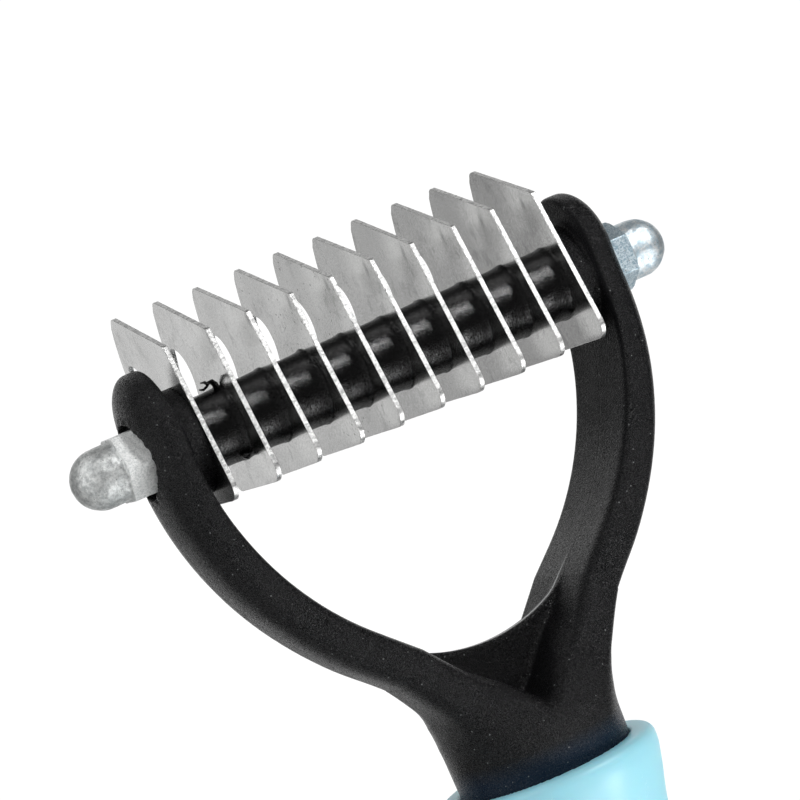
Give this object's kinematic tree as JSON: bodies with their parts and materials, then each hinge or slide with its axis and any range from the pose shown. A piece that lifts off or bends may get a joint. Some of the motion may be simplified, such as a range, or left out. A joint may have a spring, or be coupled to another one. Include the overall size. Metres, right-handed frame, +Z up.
{
  "type": "undercoat rake",
  "caption": "Hand-held pet undercoat rake: hooked steel blades and tube spacers on a threaded rod between the arms of a forked yoke, with a moulded grip and a hanging hole.",
  "frame": {"origin": "centre of the hanging hole through the end of the grip", "axes": "+Z up the grip towards the blades, +X along the threaded rod, -Y towards the blunt spines of the blades (the hooks open towards +Y)"},
  "size_m": [0.084, 0.0284, 0.1735],
  "materials": {
    "yoke_plastic": "black, fine moulded grain",
    "grip_plastic": "light blue, satin",
    "rod_steel": "zinc plated",
    "nut_zinc": "dull zinc plating",
    "blade_steel": "fine vertical polish",
    "spacer_tube": "glossy black, hand-cut ends"
  },
  "bodies": {
    "handle": {"yoke": "yoke_plastic", "grip": "grip_plastic"},
    "blade_row": {"blade_01": "blade_steel", "blade_02": "blade_steel", "blade_03": "blade_steel", "blade_04": "blade_steel", "blade_05": "blade_steel", "blade_06": "blade_steel", "blade_07": "blade_steel", "blade_08": "blade_steel", "blade_09": "blade_steel", "blade_10": "blade_steel", "spacer_01": "spacer_tube", "spacer_02": "spacer_tube", "spacer_03": "spacer_tube", "spacer_04": "spacer_tube", "spacer_05": "spacer_tube", "spacer_06": "spacer_tube", "spacer_07": "spacer_tube", "spacer_08": "spacer_tube", "spacer_09": "spacer_tube"},
    "rod": {"threaded_rod": "rod_steel"},
    "left_nut": {"cap_nut_left": "nut_zinc"},
    "right_nut": {"cap_nut_right": "nut_zinc"}
  },
  "joints": [
    {"name": "blade_row_turn", "type": "hinge", "parent": "handle", "child": "blade_row", "pos_m": [0, 0, 0.146], "axis": [1, 0, 0], "range_deg": [-90, 150]},
    {"name": "left_nut_turn", "type": "hinge", "parent": "handle", "child": "left_nut", "pos_m": [0, 0, 0.146], "axis": [-1, 0, 0], "range_deg": [0, 1080]},
    {"name": "rod_travel", "type": "slide", "parent": "handle", "child": "rod", "axis": [1, 0, 0], "range_m": [0, 0.0024]},
    {"name": "right_nut_turn", "type": "hinge", "parent": "rod", "child": "right_nut", "pos_m": [0, 0, 0.146], "axis": [1, 0, 0], "range_deg": [0, 1080]}
  ],
  "couplings": [
    {"joint": "left_nut_turn", "follows": "rod_travel", "rad_per_m": 7854}
  ]
}
